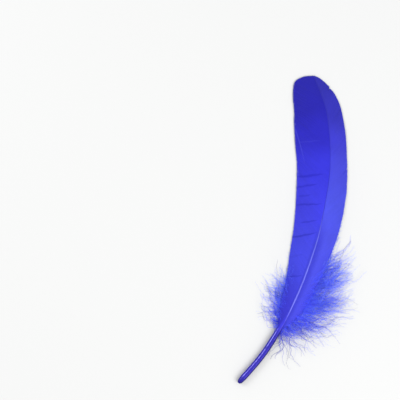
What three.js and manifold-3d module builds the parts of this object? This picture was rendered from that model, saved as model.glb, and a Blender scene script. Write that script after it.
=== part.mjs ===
// Goose quill feather, lying on its underside with the domed face up.
//
// Units are millimetres. +Y runs along the feather, from the end of the quill to the tip, +X is
// the side that the shaft bows to, and +Z is up. The origin is on the resting surface, under the
// middle of the feather's box.
//
// A place on the feather is given by its station, the distance along the shaft from the end of
// the quill, and its offset, the distance square to the shaft, positive on the outer side.

import * as THREE from "three";
import { mergeVertices } from "three/addons/utils/BufferGeometryUtils.js";
import Module from "manifold-3d";

const wasm = await Module();
wasm.setup();

const { lerp, clamp, smoothstep } = THREE.MathUtils;

// ------------------------------------------------------------------ shaft, seen from above

// Points that the middle line of the shaft runs through, measured from the end of the quill.
const SHAFT_PLAN = [
  [0, 0],
  [10.5, 21.2],
  [18.9, 50.8],
  [22.5, 80],
  [22.6, 101],
  [20.2, 127],
  [12.2, 153.5],
  [1, 170.8],
];

// Middle of the feather's box, measured from the end of the quill.
const BOX_MIDDLE = { x: 22.89, y: 85.65 };

// ------------------------------------------------------------------ shaft, section and height

const SHAFT_SIDES = 12;
const SHAFT_STEPS = 36;
const BARREL_RADIUS = 1.7;
const BARREL_START = 4;
const BARREL_END = 20;
const LEAST_RING_GAP = 1;

// Half width of the shaft at each station: rounded end, barrel, neck and tapering rachis.
const SHAFT_PROFILE = [
  { station: 0, radius: 0 },
  { station: 0.2, radius: 0.8 },
  { station: 1.2, radius: 1.4 },
  { station: BARREL_START, radius: BARREL_RADIUS },
  { station: BARREL_END, radius: BARREL_RADIUS },
  { station: 30, radius: 1.72 },
  { station: 37, radius: 1.5 },
  { station: 44, radius: 1.2 },
  { station: 60, radius: 1.05 },
  { station: 90, radius: 0.85 },
  { station: 130, radius: 0.6 },
  { station: 165, radius: 0.34 },
  { station: 179.4, radius: 0.16 },
];

// The barrel lies flat on one of its sides; from its end the shaft arches up and back down.
const BARREL_AXIS_HEIGHT = BARREL_RADIUS * Math.cos(Math.PI / SHAFT_SIDES);
const TIP_AXIS_HEIGHT = 0.5;
const ARCH_HEIGHT = 5.2;

// ------------------------------------------------------------------ vanes

// Chosen barbs, from the base to the tip. Each leaves the shaft at its root station and ends on
// the outline of the vane, at an edge station that is nearer to the tip, and at a distance.
const BARBS = [
  { root: 36.5, inner: { edge: 37, width: 0.8 }, outer: { edge: 36.8, width: 1 } },
  { root: 43, inner: { edge: 47.5, width: 5.2 }, outer: { edge: 48.5, width: 6.3 } },
  { root: 54, inner: { edge: 62, width: 8.3 }, outer: { edge: 61.5, width: 7.9 } },
  { root: 72, inner: { edge: 83, width: 12.1 }, outer: { edge: 82.5, width: 10 } },
  { root: 96, inner: { edge: 109.5, width: 15.4 }, outer: { edge: 108.5, width: 11.4 } },
  { root: 120, inner: { edge: 137, width: 18.3 }, outer: { edge: 131, width: 9.8 } },
  { root: 140, inner: { edge: 158, width: 18 }, outer: { edge: 149.5, width: 8.9 } },
  { root: 156, inner: { edge: 172.6, width: 15 }, outer: { edge: 163, width: 7.9 } },
  { root: 168, inner: { edge: 180, width: 11 }, outer: { edge: 172, width: 5.4 } },
  { root: 175.5, inner: { edge: 181.4, width: 5.6 }, outer: { edge: 177.6, width: 2.7 } },
  { root: 179.4, inner: { edge: 180.2, width: 0.5 }, outer: { edge: 180, width: 0.4 } },
];

const VANE_THICKNESS = 0.7;
const VANE_STEPS_ACROSS = 6;
const VANE_STEPS_ALONG = 42;
const OUTLINE_TENSION = 0.5;

// A barb bends towards the tip as it leaves the shaft, and droops more towards the edge.
const BARB_SWEEP_POWER = 1.2;
const DROOP_AT_SHAFT = 0.62;

// Height of the vane's middle face over the shaft's axis, in shaft radii, and at its edge.
const VANE_ROOT_RISE = 0.3;
const VANE_EDGE_HEIGHT = VANE_THICKNESS / 2;

// ------------------------------------------------------------------ down at the base

// Locks of down on each side: how many, the stations of the first and the last, the directions
// that these two leave the shaft in, as radians from its heading, and the length of the longest.
const DOWN = [
  { side: 1, count: 32, first: 36.6, last: 68, turnedOut: 1.85, turnedForward: 1, length: 38 },
  { side: -1, count: 22, first: 36.6, last: 60, turnedOut: 1.7, turnedForward: 0.8, length: 21 },
];

// The locks lengthen from the base until most of the way up and then shorten a little.
const LOCK_LENGTH_AT_BASE = 0.45;
const LOCK_GROWTH_WAVE = 0.75;
const LOCK_LENGTH_SCATTER = 0.3;
const LOCK_TURN_SCATTER = 0.25;
const LOCK_CURL = { least: 0.25, most: 0.95 };
const LOCK_ROOT_WIDTH = 2.4;
const LOCK_TIP_WIDTH = 0.9;
const LOCK_FLATNESS = 0.45;
const LOCK_SIDES = 4;
const LOCK_STEPS = 5;
const LOCK_ROOT_DEPTH = 0.3;
const LOCK_END_HEIGHT = { low: 0.6, high: 2.6 };

// Numbers that set the repeatable scatter of the locks apart, and its two factors.
const LENGTH_SEED = 1;
const CURL_SEED = 101;
const SIDE_SEED = 50;
const SCATTER_PACE = 12.9898;
const SCATTER_SPREAD = 43758.5453;

// ------------------------------------------------------------------ solids and finishes

// Vertices nearer than this are one vertex.
const MERGE_DISTANCE = 0.0001;

const DYED_KERATIN = new THREE.MeshStandardMaterial({
  name: "dyed_keratin",
  color: 0x4644dc,
  roughness: 0.6,
  metalness: 0,
});

// ------------------------------------------------------------------ places on the feather

const shaftPlan = new THREE.SplineCurve(SHAFT_PLAN.map(([x, y]) => new THREE.Vector2(x, y)));
const SHAFT_LENGTH = shaftPlan.getLength();

/** Place `forward` mm towards the tip and `offset` mm outwards of a station on the shaft. */
function beside(station, offset, height, forward = 0) {
  const along = clamp(station / SHAFT_LENGTH, 0, 1);
  const point = shaftPlan.getPointAt(along);
  const heading = shaftPlan.getTangentAt(along);
  const ahead = forward + station - along * SHAFT_LENGTH;
  return new THREE.Vector3(
    point.x + ahead * heading.x + offset * heading.y,
    point.y + ahead * heading.y - offset * heading.x,
    height,
  );
}

/** Height of the shaft's axis over the resting surface. */
function axisHeight(station) {
  const past = clamp((station - BARREL_END) / (SHAFT_LENGTH - BARREL_END), 0, 1);
  const fall = lerp(BARREL_AXIS_HEIGHT, TIP_AXIS_HEIGHT, smoothstep(past, 0, 1));
  return fall + ARCH_HEIGHT * Math.sin(Math.PI * past) ** 2;
}

/** Half width of the shaft at a station, read off its profile. */
function shaftRadius(station) {
  const after = SHAFT_PROFILE.findIndex((ring) => ring.station > station);
  if (after < 0) {
    return SHAFT_PROFILE.at(-1).radius;
  }
  const next = SHAFT_PROFILE[after];
  const last = SHAFT_PROFILE[after - 1];
  const share = (station - last.station) / (next.station - last.station);
  return lerp(last.radius, next.radius, share);
}

/** Repeatable scatter between 0 and 1 for the lock of this number. */
function scatter(number) {
  const value = Math.sin(number * SCATTER_PACE) * SCATTER_SPREAD;
  return value - Math.floor(value);
}

// ------------------------------------------------------------------ solids

/** Moves every vertex of a geometry to the place that `toPlace` gives for it. */
function reshape(geometry, toPlace) {
  const position = geometry.attributes.position;
  const vertex = new THREE.Vector3();
  for (let i = 0; i < position.count; i += 1) {
    vertex.fromBufferAttribute(position, i);
    const place = toPlace(vertex);
    position.setXYZ(i, place.x, place.y, place.z);
  }
  return geometry;
}

/** Closed solid for the boolean library, from a geometry with its shared vertices merged. */
function solidOf(geometry) {
  geometry.deleteAttribute("normal");
  geometry.deleteAttribute("uv");
  const merged = mergeVertices(geometry, MERGE_DISTANCE);
  const mesh = new wasm.Mesh({
    numProp: 3,
    vertProperties: new Float32Array(merged.attributes.position.array),
    triVerts: new Uint32Array(merged.index.array),
  });
  return new wasm.Manifold(mesh);
}

/** Geometry of a solid that comes back from the boolean library. */
function geometryOf(solid) {
  const mesh = solid.getMesh();
  const geometry = new THREE.BufferGeometry();
  geometry.setAttribute("position", new THREE.BufferAttribute(mesh.vertProperties, 3));
  geometry.setIndex(new THREE.BufferAttribute(mesh.triVerts, 1));
  geometry.computeVertexNormals();
  return geometry;
}

/** Quill and rachis: a straight turned stick with a flat side down, bent along the shaft. */
function shaftSolid() {
  const stations = SHAFT_PROFILE.map((ring) => ring.station);
  const lastStation = stations.at(-1);
  for (let i = 1; i < SHAFT_STEPS; i += 1) {
    const station = lerp(BARREL_START, lastStation, i / SHAFT_STEPS);
    if (stations.every((known) => Math.abs(known - station) > LEAST_RING_GAP)) {
      stations.push(station);
    }
  }
  stations.sort((a, b) => a - b);
  const profile = stations.map((s) => new THREE.Vector2(shaftRadius(s), s));
  profile.push(new THREE.Vector2(0, lastStation));
  const stick = new THREE.LatheGeometry(profile, SHAFT_SIDES, Math.PI / SHAFT_SIDES);
  reshape(stick, ({ x, y, z }) => beside(y, x, axisHeight(y) + z));
  return solidOf(stick);
}

/** Both vanes as one web: a plate 1 long, whose rows follow the barbs from edge to edge. */
function vaneSolid() {
  const rows = (side) =>
    new THREE.CatmullRomCurve3(
      BARBS.map((barb) => new THREE.Vector3(barb.root, barb[side].edge, barb[side].width)),
      false,
      "catmullrom",
      OUTLINE_TENSION,
    );
  const inner = rows("inner");
  const outer = rows("outer");
  const plate = new THREE.BoxGeometry(2, 1, 1, 2 * VANE_STEPS_ACROSS, VANE_STEPS_ALONG, 1);
  reshape(plate, ({ x, y, z }) => {
    const barb = (x < 0 ? inner : outer).getPoint(clamp(y + 0.5, 0, 1));
    const reach = Math.abs(x);
    const station = lerp(barb.x, barb.y, reach ** BARB_SWEEP_POWER);
    const offset = Math.sign(x) * reach * barb.z;
    const root = axisHeight(station) + VANE_ROOT_RISE * shaftRadius(station);
    const droop = DROOP_AT_SHAFT * reach + (1 - DROOP_AT_SHAFT) * reach ** 2;
    return beside(station, offset, lerp(root, VANE_EDGE_HEIGHT, droop) + z * VANE_THICKNESS);
  });
  return solidOf(plate);
}

/** One lock of down: a tapering strand 1 long, bent to an arc that starts inside the shaft. */
function lockSolid({ side, station, angle, curl, length, endHeight }) {
  const strand = new THREE.CylinderGeometry(
    LOCK_TIP_WIDTH / 2,
    LOCK_ROOT_WIDTH / 2,
    1,
    LOCK_SIDES,
    LOCK_STEPS,
  );
  const rootHeight = axisHeight(station) - LOCK_ROOT_DEPTH;
  reshape(strand, ({ x, y, z }) => {
    const gone = y + 0.5;
    const turned = angle + curl * gone;
    const forward = (length / curl) * (Math.sin(turned) - Math.sin(angle));
    const outward = (length / curl) * (Math.cos(angle) - Math.cos(turned));
    const across = x * side;
    const height = lerp(rootHeight, endHeight, gone * (2 - gone)) + z * LOCK_FLATNESS;
    return beside(
      station,
      side * (outward + across * Math.cos(turned)),
      height,
      forward - across * Math.sin(turned),
    );
  });
  return solidOf(strand);
}

/** All the locks of down on both sides of the base. */
function downSolids() {
  const locks = [];
  for (const { side, count, first, last, turnedOut, turnedForward, length } of DOWN) {
    for (let i = 0; i < count; i += 1) {
      const along = i / (count - 1);
      const chance = scatter(i + LENGTH_SEED + SIDE_SEED * side);
      const other = scatter(i + CURL_SEED + SIDE_SEED * side);
      const swelling = Math.sin(Math.PI * LOCK_GROWTH_WAVE * Math.sqrt(along));
      const growth = lerp(LOCK_LENGTH_AT_BASE, 1, swelling);
      locks.push(
        lockSolid({
          side,
          station: lerp(first, last, along),
          angle: lerp(turnedOut, turnedForward, along) + LOCK_TURN_SCATTER * (chance - 0.5),
          curl: -lerp(LOCK_CURL.least, LOCK_CURL.most, other),
          length: length * growth * (1 - LOCK_LENGTH_SCATTER * chance),
          endHeight: lerp(LOCK_END_HEIGHT.low, LOCK_END_HEIGHT.high, other),
        }),
      );
    }
  }
  return locks;
}

/** Largest closed skin of a solid, which leaves out pockets shut in where locks cross. */
function outerSkin(solid) {
  const skins = solid.decompose();
  return skins.reduce((best, skin) => (skin.volume() > best.volume() ? skin : best));
}

/** The whole feather, which grew as one piece. */
function buildFeather() {
  let solid = shaftSolid().add(vaneSolid());
  for (const lock of downSolids()) {
    solid = solid.add(lock);
  }
  solid = outerSkin(solid);
  const feather = new THREE.Mesh(geometryOf(solid), DYED_KERATIN);
  feather.name = "feather";
  feather.position.set(-BOX_MIDDLE.x, -BOX_MIDDLE.y, 0);
  return feather;
}

const group = new THREE.Group();
group.add(buildFeather());

export default group;
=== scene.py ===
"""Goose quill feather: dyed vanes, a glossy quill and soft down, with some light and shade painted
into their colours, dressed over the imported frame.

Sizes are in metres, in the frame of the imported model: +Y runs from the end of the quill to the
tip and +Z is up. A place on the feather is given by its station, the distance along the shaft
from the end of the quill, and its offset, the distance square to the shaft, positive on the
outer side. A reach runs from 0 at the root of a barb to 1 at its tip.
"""
import logging
import math
from dataclasses import asdict, dataclass, field
from enum import Enum
from typing import Any

import bpy
import numpy as np
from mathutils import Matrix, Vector


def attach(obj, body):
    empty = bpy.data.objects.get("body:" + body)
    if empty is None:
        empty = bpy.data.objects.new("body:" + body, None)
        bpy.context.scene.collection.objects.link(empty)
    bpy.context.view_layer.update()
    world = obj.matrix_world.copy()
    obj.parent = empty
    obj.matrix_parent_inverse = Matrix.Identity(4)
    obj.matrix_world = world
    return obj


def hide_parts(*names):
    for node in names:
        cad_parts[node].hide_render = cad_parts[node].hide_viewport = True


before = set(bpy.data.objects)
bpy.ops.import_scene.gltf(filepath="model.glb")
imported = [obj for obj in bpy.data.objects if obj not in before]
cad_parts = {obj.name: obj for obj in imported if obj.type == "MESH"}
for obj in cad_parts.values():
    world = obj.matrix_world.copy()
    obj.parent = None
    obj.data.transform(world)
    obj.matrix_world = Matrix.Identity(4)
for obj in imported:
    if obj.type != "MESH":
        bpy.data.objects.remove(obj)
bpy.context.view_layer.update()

NODE = "feather"
BODY = "root"
SHAFT_LENGTH = 0.1797
SCATTER_PACE = 12.9898
SCATTER_SIZE = 43758.5453

Colour = tuple[float, float, float]
Parts = tuple[float, float, float]
Stops = tuple[tuple[float, Colour], ...]
Numbers = np.ndarray
Values = dict[str, Numbers]

log = logging.getLogger("feather")


# --------------------------------------------------------------------------- shape rules


class Side(Enum):
    """Which side of the shaft a piece grows on."""

    OUTER = 1
    INNER = -1


def mix(low: Any, high: Any, share: Any) -> Any:
    """Returns the value that lies at this share of the way from low to high."""
    return low + (high - low) * share


def eased(value: Numbers, low: float, high: float) -> Numbers:
    """Returns a smooth step from 0 at low to 1 at high."""
    part = np.clip((value - low) / (high - low), 0, 1)
    return part * part * (3 - 2 * part)


def spline(knots: Numbers, fractions: Numbers, straight_ends: bool) -> Numbers:
    """Follows a Catmull-Rom curve through its knots.

    Args:
        knots: The points that the curve runs through, one in each row.
        fractions: Where to read the curve, from 0 at the first knot to 1 at the last.
        straight_ends: True to carry the curve straight on past its ends.

    Returns:
        The points of the curve, one row for each fraction.
    """
    spans = len(knots) - 1
    before = 2 * knots[0] - knots[1] if straight_ends else knots[0]
    after = 2 * knots[-1] - knots[-2] if straight_ends else knots[-1]
    padded = np.vstack([before, knots, after])
    place = np.clip(fractions, 0, 1) * spans
    span = np.minimum(place.astype(int), spans - 1)
    part = (place - span)[:, None]
    a, b, c, d = (padded[span + step] for step in range(4))
    out, home = (c - a) / 2, (d - b) / 2
    cubic = 2 * b - 2 * c + out + home
    square = -3 * b + 3 * c - 2 * out - home
    return ((cubic * part + square) * part + out) * part + b


def scatter(number: Numbers) -> Numbers:
    """Returns the repeatable scatter between 0 and 1 that belongs to each lock's number."""
    value = np.sin(number * SCATTER_PACE) * SCATTER_SIZE
    return value - np.floor(value)


def ripple(
    phase: Numbers, seed: int, waves: int = 5, paces: tuple[float, float] = (0.7, 1.3)
) -> Numbers:
    """Makes a smooth uneven wave.

    Args:
        phase: Phase at each point; the slowest wave takes about 1.
        seed: Chooses the waves.
        waves: How many sine waves are added up.
        paces: Least and greatest pace of each wave, over its order.

    Returns:
        Heights between about -1 and 1.
    """
    chance = np.random.default_rng(seed)
    total = np.zeros_like(phase)
    for order in range(1, waves + 1):
        pace = order * chance.uniform(*paces)
        total += np.sin(2 * math.pi * (phase * pace + chance.uniform())) / order
    return total / 2


@dataclass
class ShaftLine:
    """The curved line of the shaft: its plan, its height and its half width."""

    plan: tuple[tuple[float, float], ...] = (
        (0.0, 0.0),
        (0.0105, 0.0212),
        (0.0189, 0.0508),
        (0.0225, 0.0800),
        (0.0226, 0.1010),
        (0.0202, 0.1270),
        (0.0122, 0.1535),
        (0.0010, 0.1708),
    )
    box_middle: tuple[float, float] = (0.02289, 0.08565)
    profile: tuple[tuple[float, float], ...] = (
        (0.0, 0.0),
        (0.0002, 0.0008),
        (0.0012, 0.0014),
        (0.0040, 0.0017),
        (0.0200, 0.0017),
        (0.0300, 0.00172),
        (0.0370, 0.0015),
        (0.0440, 0.0012),
        (0.0600, 0.00105),
        (0.0900, 0.00085),
        (0.1300, 0.0006),
        (0.1650, 0.00034),
        (0.1794, 0.00016),
    )
    barrel_end: float = 0.020
    barrel_radius: float = 0.0017
    barrel_sides: int = 12
    barrel_axis_height: float = barrel_radius * math.cos(math.pi / barrel_sides)
    tip_axis_height: float = 0.0005
    arch_height: float = 0.0052
    samples: int = 600
    points: Numbers = field(init=False)
    headings: Numbers = field(init=False)
    stations: Numbers = field(init=False)

    def __post_init__(self) -> None:
        """Measures the curve once, for every later reading."""
        fractions = np.linspace(0, 1, self.samples)
        self.points = spline(np.array(self.plan), fractions, straight_ends=False)
        self.points -= np.array(self.box_middle)
        steps = np.linalg.norm(np.diff(self.points, axis=0), axis=1)
        self.stations = np.concatenate([[0.0], np.cumsum(steps)])
        headings = np.gradient(self.points, axis=0)
        self.headings = headings / np.linalg.norm(headings, axis=1)[:, None]

    @property
    def length(self) -> float:
        """Returns the length of the shaft along its curve."""
        return float(self.stations[-1])

    def place(self, station: Any, offset: Any, height: Any, forward: Any = 0.0) -> Numbers:
        """Finds places beside the shaft.

        Args:
            station: Distance along the shaft from the end of the quill.
            offset: Distance square to the shaft, positive on the outer side.
            height: Height over the resting surface.
            forward: Distance further on along the heading at the station.

        Returns:
            The places, with x, y and z last.
        """
        station, offset, height, forward = np.broadcast_arrays(
            station, offset, height, forward
        )
        along = np.clip(station, 0, self.length)
        ahead = forward + station - along
        x, y = (np.interp(along, self.stations, column) for column in self.points.T)
        go_x, go_y = (np.interp(along, self.stations, column) for column in self.headings.T)
        return np.stack(
            [x + ahead * go_x + offset * go_y, y + ahead * go_y - offset * go_x, height],
            axis=-1,
        )

    def axis_height(self, station: Numbers) -> Numbers:
        """Finds the height of the shaft's axis.

        Args:
            station: Distance along the shaft from the end of the quill.

        Returns:
            The height of the axis over the resting surface.
        """
        past = np.clip((station - self.barrel_end) / (self.length - self.barrel_end), 0, 1)
        fall = mix(self.barrel_axis_height, self.tip_axis_height, eased(past, 0, 1))
        return fall + self.arch_height * np.sin(math.pi * past) ** 2

    def radius(self, station: Numbers) -> Numbers:
        """Returns the half width of the shaft at each station."""
        stations, radii = np.array(self.profile).T
        return np.interp(station, stations, radii)


@dataclass
class Web:
    """The curved sheet that the barbs of one vane lie in."""

    line: ShaftLine
    side: Side
    chosen: tuple[tuple[float, float, float], ...]
    bare_rachis: tuple[tuple[float, float], ...]
    sweep_power: float = 1.2
    droop_at_shaft: float = 0.62
    edge_height: float = 0.00035
    samples: int = 600
    least_barb: float = 0.0002
    shaft_clearance: float = 0.00006
    ceiling_rows: int = 90
    ceiling_steps: int = 24
    ceiling_gap: float = 0.0004
    ceiling_margin: float = 0.001
    ceiling_slope: float = 0.4

    def named(self, kind: str) -> str:
        """Returns the name of a piece of this kind on this side."""
        return f"{self.side.name.lower()}_{kind}"

    def rows(self, root: Numbers) -> tuple[Numbers, Numbers]:
        """Reads the outline of the vane from its chosen barbs.

        Args:
            root: Station of each barb's root.

        Returns:
            The station of each barb's tip at the edge, and its distance from the shaft's line.
        """
        fractions = np.linspace(0, 1, self.samples)
        table = spline(np.array(self.chosen), fractions, straight_ends=True)
        edge, width = (np.interp(root, table[:, 0], column) for column in table[:, 1:].T)
        return edge, width

    def lay(self, root: Numbers, reach: Numbers) -> tuple[Numbers, Numbers, Numbers]:
        """Lays barbs in the sheet.

        Args:
            root: Station of each barb's root.
            reach: How far along its barb each point is.

        Returns:
            The stations, the offsets away from the shaft and the heights.
        """
        edge, width = self.rows(root)
        bare = np.interp(root, *np.array(self.bare_rachis).T)
        start = bare * self.line.radius(root)
        station = mix(root, edge, reach**self.sweep_power)
        offset = start + (width - start).clip(self.least_barb) * reach
        top = self.line.radius(station) * np.sqrt(1 - bare**2)
        droop = mix(reach**2, reach, self.droop_at_shaft)
        height = mix(self.line.axis_height(station) + top, self.edge_height, droop)
        radius = self.line.radius(station)
        over = np.sqrt((radius**2 - offset**2).clip(0)) + self.shaft_clearance
        over = np.where(np.abs(offset) < radius, self.line.axis_height(station) + over, 0.0)
        return station, offset, np.maximum(height, over)

    def ceiling(self, points: Numbers) -> Numbers:
        """Finds how high loose down may lie: below the sheet, and higher further off its edge.

        Args:
            points: Places in the row frame, with x, y and z last.

        Returns:
            The greatest height at each place.
        """
        root = np.linspace(self.chosen[0][0], self.chosen[-1][0], self.ceiling_rows)[:, None]
        station, offset, height = self.lay(root, np.linspace(0, 1, self.ceiling_steps)[None, :])
        sheet = self.line.place(station, self.side.value * offset, height).reshape(-1, 3)
        apart = np.linalg.norm(points[..., None, :2] - sheet[:, :2], axis=-1)
        near = apart.argmin(axis=-1)
        past = (apart.min(axis=-1) - self.ceiling_margin).clip(0)
        return sheet[near, 2] - self.ceiling_gap + self.ceiling_slope * past


# --------------------------------------------------------------------------- node sketching


class Sketch:
    """Adds and joins the nodes of one shader or geometry tree."""

    def __init__(self, tree: bpy.types.NodeTree) -> None:
        """Keeps the tree that the nodes go into."""
        self.tree = tree

    def feed(self, socket: bpy.types.NodeSocket, value: Any) -> None:
        """Links a socket to what feeds it, or sets it to a plain value.

        Args:
            socket: The input to feed.
            value: A node, whose first output is taken, an output, or a plain value.
        """
        source = value.outputs[0] if isinstance(value, bpy.types.Node) else value
        if isinstance(source, bpy.types.NodeSocket):
            self.tree.links.new(source, socket)
        else:
            socket.default_value = source

    def add(
        self, kind: str, sockets: dict[Any, Any] | None = None, **settings: Any
    ) -> bpy.types.Node:
        """Adds one node.

        Args:
            kind: The node's type name.
            sockets: What each input gets, by its name or its number.
            **settings: The node's own settings.

        Returns:
            The new node.
        """
        node = self.tree.nodes.new(kind)
        for name, value in settings.items():
            setattr(node, name, value)
        for key, value in (sockets or {}).items():
            self.feed(node.inputs[key], value)
        return node

    def math(self, operation: str, *values: Any) -> bpy.types.NodeSocket:
        """Returns the result of a Math node on these values."""
        sockets = dict(enumerate(values))
        return self.add("ShaderNodeMath", sockets, operation=operation).outputs[0]

    def vector(self, operation: str, *values: Any) -> bpy.types.NodeSocket:
        """Returns the vector that a Vector Math node makes of these values."""
        sockets = dict(enumerate(values))
        return self.add("ShaderNodeVectorMath", sockets, operation=operation).outputs[0]

    def scaled(self, vector: Any, scale: Any) -> bpy.types.NodeSocket:
        """Returns a vector, or a colour, times a number."""
        sockets = {"Vector": vector, "Scale": scale}
        return self.add("ShaderNodeVectorMath", sockets, operation="SCALE").outputs[0]

    def sum(self, *vectors: Any) -> bpy.types.NodeSocket:
        """Adds up vectors.

        Args:
            *vectors: The vectors, in the order in which they are added.

        Returns:
            Their sum.
        """
        total = vectors[0]
        for vector in vectors[1:]:
            total = self.vector("ADD", total, vector)
        return total

    def times(self, *values: Any) -> bpy.types.NodeSocket:
        """Multiplies numbers.

        Args:
            *values: The numbers, in the order in which they are multiplied.

        Returns:
            Their product.
        """
        product = values[0]
        for value in values[1:]:
            product = self.math("MULTIPLY", product, value)
        return product

    def plus(self, value: Any, share: Any, start: Any) -> bpy.types.NodeSocket:
        """Returns start plus a share of a value."""
        return self.math("MULTIPLY_ADD", value, share, start)

    def rest(self, value: Any) -> bpy.types.NodeSocket:
        """Returns what a value leaves of 1."""
        return self.math("SUBTRACT", 1.0, value)

    def step(self, value: Any, low: float, high: float) -> bpy.types.NodeSocket:
        """Makes a smooth step.

        Args:
            value: What the step is taken over.
            low: Where the step leaves 0.
            high: Where it reaches 1.

        Returns:
            The height of the step.
        """
        sockets = {"Value": value, "From Min": low, "From Max": high}
        node = self.add("ShaderNodeMapRange", sockets, interpolation_type="SMOOTHSTEP")
        return node.outputs[0]


# --------------------------------------------------------------------------- finishes


class Paint(Sketch):
    """Sketches one material around its Principled shader."""

    def __init__(self, name: str) -> None:
        """Starts a material.

        Args:
            name: Name of the material.
        """
        self.material = bpy.data.materials.new(name)
        self.material.use_nodes = True
        super().__init__(self.material.node_tree)
        self.shader = self.tree.nodes["Principled BSDF"]

    def set(self, **sockets: Any) -> None:
        """Sets or links inputs of the shader, named with _ for each space."""
        for name, value in sockets.items():
            self.feed(self.shader.inputs[name.replace("_", " ")], value)

    def value(self, name: str) -> bpy.types.NodeSocket:
        """Returns a value that the mesh carries under this name."""
        return self.add("ShaderNodeAttribute", attribute_name=name).outputs["Fac"]

    def ramp(self, factor: Any, stops: Stops) -> bpy.types.NodeSocket:
        """Reads a smooth ramp of colours.

        Args:
            factor: Where to read the ramp, from 0 to 1.
            stops: Place and colour of each stop.

        Returns:
            The colour at the factor.
        """
        node = self.add("ShaderNodeValToRGB", {"Fac": factor})
        node.color_ramp.interpolation = "EASE"
        elements = node.color_ramp.elements
        while len(elements) < len(stops):
            elements.new(position=0.5)
        for element, (position, colour) in zip(elements, stops):
            element.position = position
            element.color = (*colour, 1.0)
        return node.outputs["Color"]

    def blended(self, factor: Any, first: Any, second: Any) -> bpy.types.NodeSocket:
        """Mixes two colours.

        Args:
            factor: How much of the second colour is taken.
            first: A colour, or what makes it.
            second: The other colour, or what makes it.

        Returns:
            The mixed colour.
        """
        node = self.add("ShaderNodeMix", data_type="RGBA", clamp_factor=True)
        colours = [socket for socket in node.inputs if socket.type == "RGBA"]
        self.feed(node.inputs[0], factor)
        for socket, colour in zip(colours, (first, second)):
            self.feed(socket, (*colour, 1.0) if isinstance(colour, tuple) else colour)
        return next(out for out in node.outputs if out.type == "RGBA")

    def noise(self, place: Any, scale: float, detail: float = 3.0) -> bpy.types.NodeSocket:
        """Returns a cloud of values around 0.5."""
        sockets = {"Vector": place, "Scale": scale, "Detail": detail}
        return self.add("ShaderNodeTexNoise", sockets).outputs["Fac"]

    def bumped(self, height: Any, depth: float) -> bpy.types.NodeSocket:
        """Returns the normal of a surface with this relief."""
        sockets = {"Height": height, "Distance": depth, "Strength": 1.0}
        return self.add("ShaderNodeBump", sockets).outputs[0]

    @property
    def object_place(self) -> bpy.types.NodeSocket:
        """Returns the point of the surface in the object's own frame."""
        return self.add("ShaderNodeTexCoord").outputs["Object"]


@dataclass(frozen=True)
class Crease:
    """A bend in a vane, running in towards the shaft, with a lens-shaped mark along it: painted
    shade in a crease, a painted highlight on a fold.
    """

    station: float
    offset: float
    end_station: float
    end_offset: float
    width: float
    depth: float


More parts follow.
